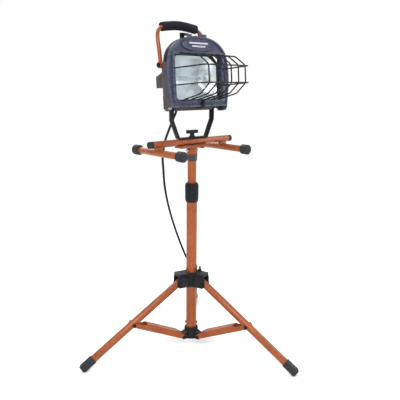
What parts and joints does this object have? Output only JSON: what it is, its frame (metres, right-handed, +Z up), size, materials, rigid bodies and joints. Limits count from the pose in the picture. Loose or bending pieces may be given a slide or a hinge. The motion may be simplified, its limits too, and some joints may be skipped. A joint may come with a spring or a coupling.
{
  "type": "tripod work light",
  "caption": "Tripod work light: caged tilting floodlight head with carry handle on a yoke and crossbar, telescoping mast with collar, folding braced legs and coiled lead.",
  "frame": {"origin": "centre of the footprint on the floor, in the middle of the bounding box without the lead", "axes": "+Z up along the mast, -Y the way the lamp faces, +X towards the tilt knob"},
  "size_m": [0.5934, 0.5998, 0.9634],
  "materials": {
    "orange_coat": "semi-gloss copper-orange powder coat",
    "black_steel": "satin black coat on steel",
    "slate_cast": "semi-gloss blue-grey enamel on cast aluminium",
    "grey_cast": "matt brown-grey enamel on cast aluminium",
    "black_plastic": "fine-textured black moulding",
    "cap_rubber": "dull dark grey rubber",
    "black_rubber": "smooth black rubber",
    "grip_foam": "soft closed-cell foam",
    "bright_sheet": "hammered bright aluminium",
    "clear_glass": "clear tempered glass",
    "ceramic": "unglazed white ceramic",
    "zinc_steel": "bright zinc-plated steel",
    "strap_fabric": "woven black hook-and-loop strap"
  },
  "bodies": {
    "mast": {"lower_tube": "orange_coat", "lower_hub": "black_plastic", "hub_pin": "black_steel", "collar_base": "black_plastic"},
    "collar_ring_body": {"collar_ring": "black_plastic"},
    "slider": {"bushing": "black_plastic"},
    "upper_mast": {"upper_tube": "orange_coat", "mast_plate": "orange_coat", "cross_bolt": "zinc_steel", "crossbar": "orange_coat", "bar_plug_left": "cap_rubber", "bar_plug_right": "cap_rubber", "foot_left": "orange_coat", "foot_right": "orange_coat", "foot_cap_left_front": "cap_rubber", "foot_cap_left_back": "cap_rubber", "foot_cap_right_front": "cap_rubber", "foot_cap_right_back": "cap_rubber"},
    "clamp": {"clamp_knob": "black_plastic"},
    "cradle": {"yoke": "black_steel", "pivot_bolt": "zinc_steel", "cord_tube": "black_rubber", "cord_hank": "black_rubber", "cord_tie": "strap_fabric", "plug": "black_rubber"},
    "tilt_grip": {"tilt_knob": "black_plastic"},
    "head": {"housing": "grey_cast", "housing_rim": "black_steel", "reflector": "bright_sheet", "lamp_tube": "clear_glass", "socket_left": "ceramic", "socket_right": "ceramic", "junction_box": "grey_cast", "box_cover": "grey_cast", "terminal_block": "ceramic", "gland": "black_plastic", "handle_rod": "orange_coat", "handle_grip": "grip_foam", "handle_screw_left": "black_steel", "handle_screw_right": "black_steel"},
    "door": {"door_frame": "slate_cast", "glass": "clear_glass", "gasket": "black_rubber", "guard": "black_steel", "badge": "slate_cast", "latch": "black_steel"},
    "hub": {"upper_hub": "black_plastic"},
    "lever": {"lock_lever": "black_plastic"},
    "leg_front_body": {"leg_front": "orange_coat", "leg_cap_front": "cap_rubber"},
    "brace_front_body": {"brace_front": "orange_coat"},
    "leg_rear_body": {"leg_rear": "orange_coat", "leg_cap_rear": "cap_rubber"},
    "brace_rear_body": {"brace_rear": "orange_coat"},
    "leg_left_body": {"leg_left": "orange_coat", "leg_cap_left": "cap_rubber"},
    "brace_left_body": {"brace_left": "orange_coat"}
  },
  "joints": [
    {"name": "mast_slide", "type": "slide", "parent": "mast", "child": "slider", "axis": [0, 0, 1], "range_m": [-0.04, 0.3]},
    {"name": "mast_turn", "type": "hinge", "parent": "slider", "child": "upper_mast", "pos_m": [0.04737, 0.04057, 0.4], "axis": [0, 0, 1], "range_deg": [-170, 170]},
    {"name": "collar_turn", "type": "hinge", "parent": "mast", "child": "collar_ring_body", "pos_m": [0.04737, 0.04057, 0.5], "axis": [0, 0, 1], "range_deg": [0, 75]},
    {"name": "clamp_knob_turn", "type": "hinge", "parent": "upper_mast", "child": "clamp", "pos_m": [0.04737, 0.04057, 0.65], "axis": [0, 0, 1], "continuous": true},
    {"name": "yoke_pan", "type": "hinge", "parent": "upper_mast", "child": "cradle", "pos_m": [0.04737, 0.04057, 0.645], "axis": [0, 0, 1], "range_deg": [-45, 45]},
    {"name": "tilt_knob_turn", "type": "hinge", "parent": "cradle", "child": "tilt_grip", "pos_m": [0.16337, 0.04057, 0.73], "axis": [1, 0, 0], "continuous": true},
    {"name": "head_tilt", "type": "hinge", "parent": "cradle", "child": "head", "pos_m": [0.04737, 0.04057, 0.73], "axis": [1, 0, 0], "range_deg": [-50, 45], "deforming": ["cord_tube"]},
    {"name": "door_hinge", "type": "hinge", "parent": "head", "child": "door", "pos_m": [0.04737, 0.03769, 0.92282], "axis": [1, 0, 0], "range_deg": [-100, 0]},
    {"name": "hub_slide", "type": "slide", "parent": "mast", "child": "hub", "axis": [0, 0, 1], "range_m": [0, 0.1786]},
    {"name": "lock_lever_turn", "type": "hinge", "parent": "hub", "child": "lever", "pos_m": [0.06602, 0.02318, 0.2455], "axis": [0.682, 0.7314, 0], "range_deg": [0, 35]},
    {"name": "leg_front_fold", "type": "hinge", "parent": "hub", "child": "leg_front_body", "pos_m": [0.06076, -0.00552, 0.2075], "axis": [0.9603, 0.279, 0], "range_deg": [0, 52.4]},
    {"name": "brace_front_fold", "type": "hinge", "parent": "mast", "child": "brace_front_body", "pos_m": [0.05574, 0.01176, 0.0357], "axis": [0.9603, 0.279, 0], "range_deg": [-55.6, 0]},
    {"name": "leg_rear_fold", "type": "hinge", "parent": "hub", "child": "leg_rear_body", "pos_m": [0.08059, 0.07521, 0.2075], "axis": [-0.7218, 0.6921, 0], "range_deg": [0, 52.4]},
    {"name": "brace_rear_fold", "type": "hinge", "parent": "mast", "child": "brace_rear_body", "pos_m": [0.06814, 0.06222, 0.0357], "axis": [-0.7218, 0.6921, 0], "range_deg": [-55.6, 0]},
    {"name": "leg_left_fold", "type": "hinge", "parent": "hub", "child": "leg_left_body", "pos_m": [0.00076, 0.05202, 0.2075], "axis": [-0.2385, -0.9711, 0], "range_deg": [0, 52.4]},
    {"name": "brace_left_fold", "type": "hinge", "parent": "mast", "child": "brace_left_body", "pos_m": [0.01824, 0.04773, 0.0357], "axis": [-0.2385, -0.9711, 0], "range_deg": [-55.6, 0]}
  ],
  "couplings": [
    {"joint": "leg_front_fold", "follows": "hub_slide", "rad_per_m": 5.111},
    {"joint": "brace_front_fold", "follows": "hub_slide", "rad_per_m": -5.424},
    {"joint": "leg_rear_fold", "follows": "hub_slide", "rad_per_m": 5.111},
    {"joint": "brace_rear_fold", "follows": "hub_slide", "rad_per_m": -5.424},
    {"joint": "leg_left_fold", "follows": "hub_slide", "rad_per_m": 5.111},
    {"joint": "brace_left_fold", "follows": "hub_slide", "rad_per_m": -5.424}
  ]
}
